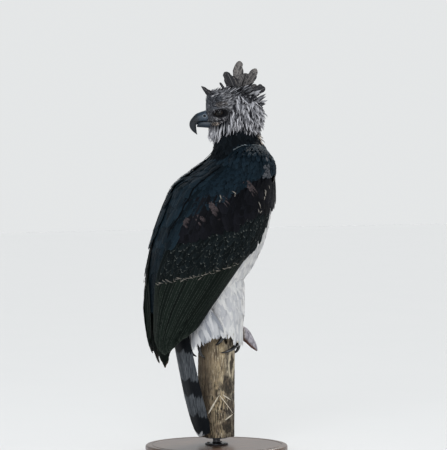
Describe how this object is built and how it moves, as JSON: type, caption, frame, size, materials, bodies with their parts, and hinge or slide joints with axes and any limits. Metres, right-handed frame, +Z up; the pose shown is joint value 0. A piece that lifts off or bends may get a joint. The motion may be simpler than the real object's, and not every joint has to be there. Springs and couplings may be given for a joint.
{
  "type": "harpy eagle",
  "caption": "Still, life-size harpy eagle gripping a cut length of dead trunk, its head turned back over the shoulder and its crest raised, on a plain round stand.",
  "frame": {"origin": "middle of the round base's underside", "axes": "+Z up, +X the way the bird's breast faces, +Y to the bird's left"},
  "size_m": [0.3843, 0.37, 1.0215],
  "materials": {
    "white_plumage": "soft white feathers",
    "slate_plumage": "slate-black feathers with a faint bluish sheen",
    "grey_plumage": "soft grey feathers",
    "banded_plumage": "grey feathers with black bars",
    "horn": "black horn with a dull shine",
    "eye": "wet and dark",
    "foot_scales": "dull yellow scaled skin",
    "dead_wood": "weathered bare trunk",
    "dark_steel": "satin black",
    "stained_wood": "dark stain, satin"
  },
  "bodies": {
    "root": {"torso": "white_plumage", "neck": "slate_plumage", "head": "grey_plumage", "bill_upper": "horn", "bill_lower": "horn", "eye_left": "eye", "eye_right": "eye", "wing_left": "slate_plumage", "wing_right": "slate_plumage", "tail": "banded_plumage", "thigh_left": "white_plumage", "thigh_right": "white_plumage", "foot_left": "foot_scales", "foot_right": "foot_scales", "claw_left_1": "horn", "claw_left_2": "horn", "claw_left_3": "horn", "claw_left_4": "horn", "claw_right_1": "horn", "claw_right_2": "horn", "claw_right_3": "horn", "claw_right_4": "horn", "stand_perch": "dead_wood", "stand_rod": "dark_steel", "stand_base": "stained_wood"}
  },
  "joints": []
}
